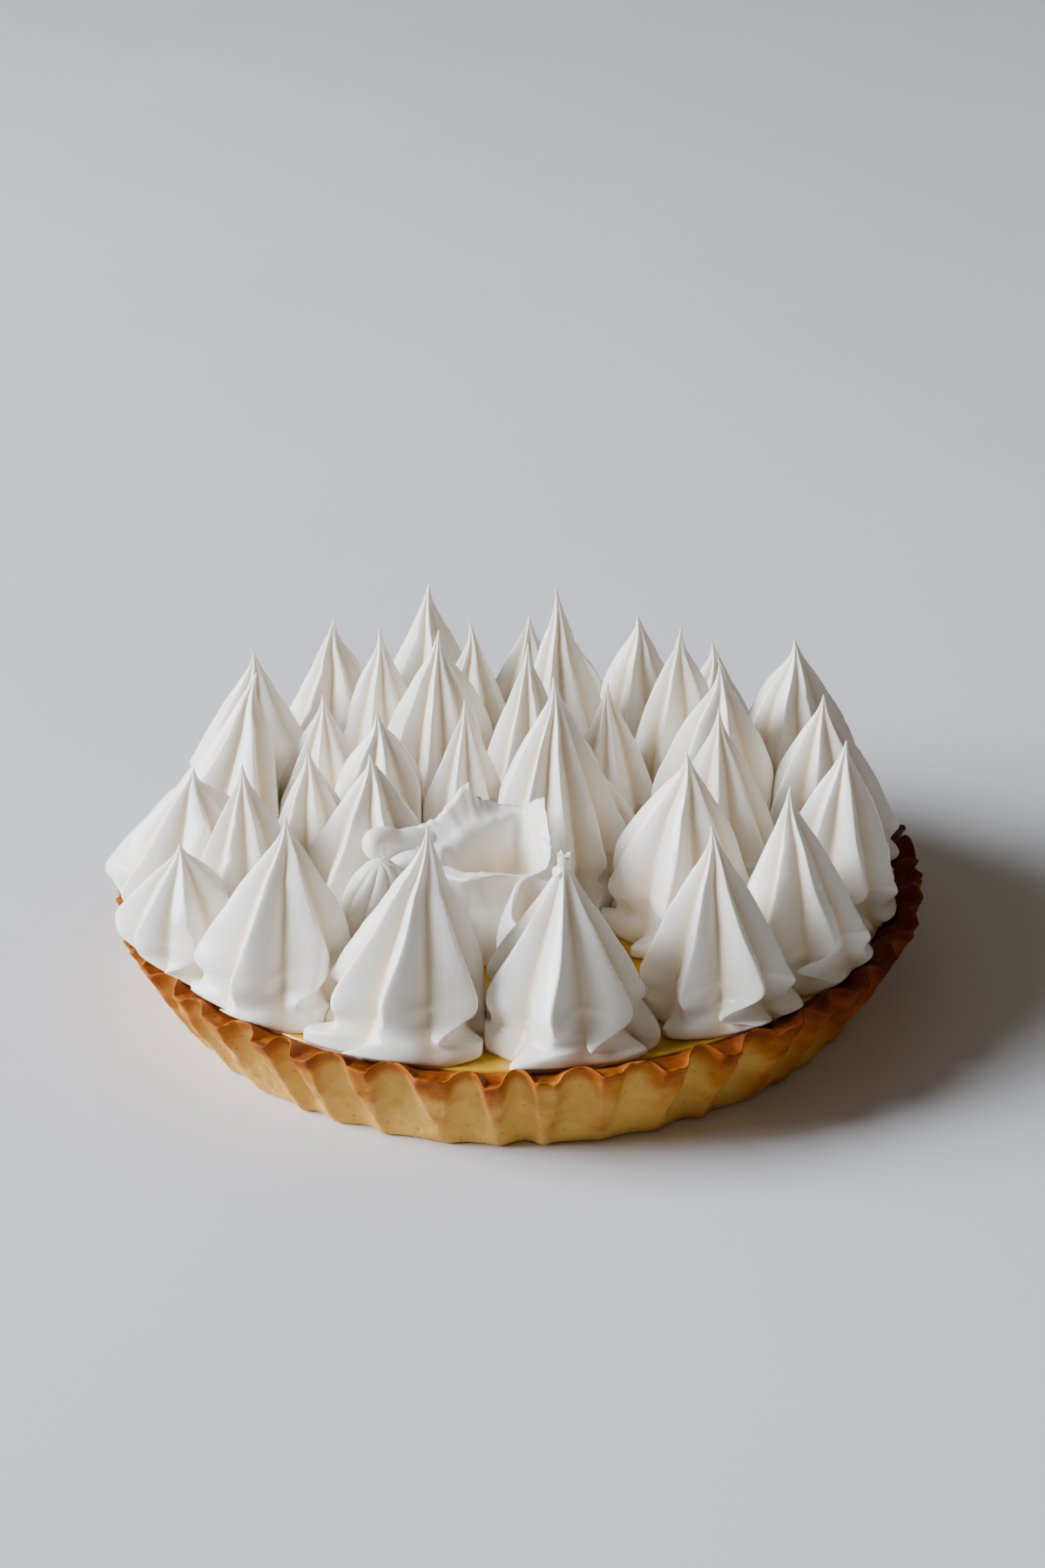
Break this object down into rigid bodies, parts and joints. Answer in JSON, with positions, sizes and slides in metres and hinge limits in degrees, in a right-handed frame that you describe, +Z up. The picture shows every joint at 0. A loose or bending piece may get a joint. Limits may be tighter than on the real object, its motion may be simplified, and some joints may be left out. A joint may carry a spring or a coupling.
{
  "type": "lemon meringue tart",
  "caption": "Round fluted shortcrust tart filled with lemon curd and covered with tall piped meringue kisses, one of them crushed.",
  "frame": {"origin": "middle of the shell's flat underside", "axes": "+Z up out of the tart, -Y towards its front, where the crushed kiss shows between the kisses"},
  "size_m": [0.2415, 0.2398, 0.0975],
  "materials": {
    "shortcrust": "baked shortcrust, pale gold wall with a browned rim",
    "curd": "set lemon curd, smooth and slightly glossy",
    "meringue": "soft unbrowned meringue, satin"
  },
  "bodies": {
    "root": {"crust": "shortcrust", "lemon_curd": "curd", "kiss_01": "meringue", "kiss_02": "meringue", "kiss_03": "meringue", "kiss_04": "meringue", "kiss_05": "meringue", "kiss_06": "meringue", "kiss_07": "meringue", "kiss_08": "meringue", "kiss_09": "meringue", "kiss_10": "meringue", "kiss_11": "meringue", "kiss_12": "meringue", "kiss_13": "meringue", "kiss_14": "meringue", "kiss_15": "meringue", "kiss_16": "meringue", "kiss_17": "meringue", "kiss_18": "meringue", "kiss_19": "meringue", "kiss_20": "meringue", "kiss_21": "meringue", "kiss_22": "meringue", "kiss_23": "meringue", "kiss_24": "meringue", "kiss_25": "meringue", "kiss_26": "meringue", "kiss_27": "meringue", "kiss_28": "meringue", "kiss_29": "meringue", "kiss_30": "meringue", "kiss_31": "meringue", "kiss_32": "meringue", "kiss_33": "meringue", "kiss_34": "meringue", "kiss_35": "meringue", "kiss_36": "meringue", "crushed_kiss": "meringue", "smear_upper": "meringue", "smear_lower": "meringue", "low_swirl": "meringue", "hollow_swirl": "meringue"}
  },
  "joints": []
}
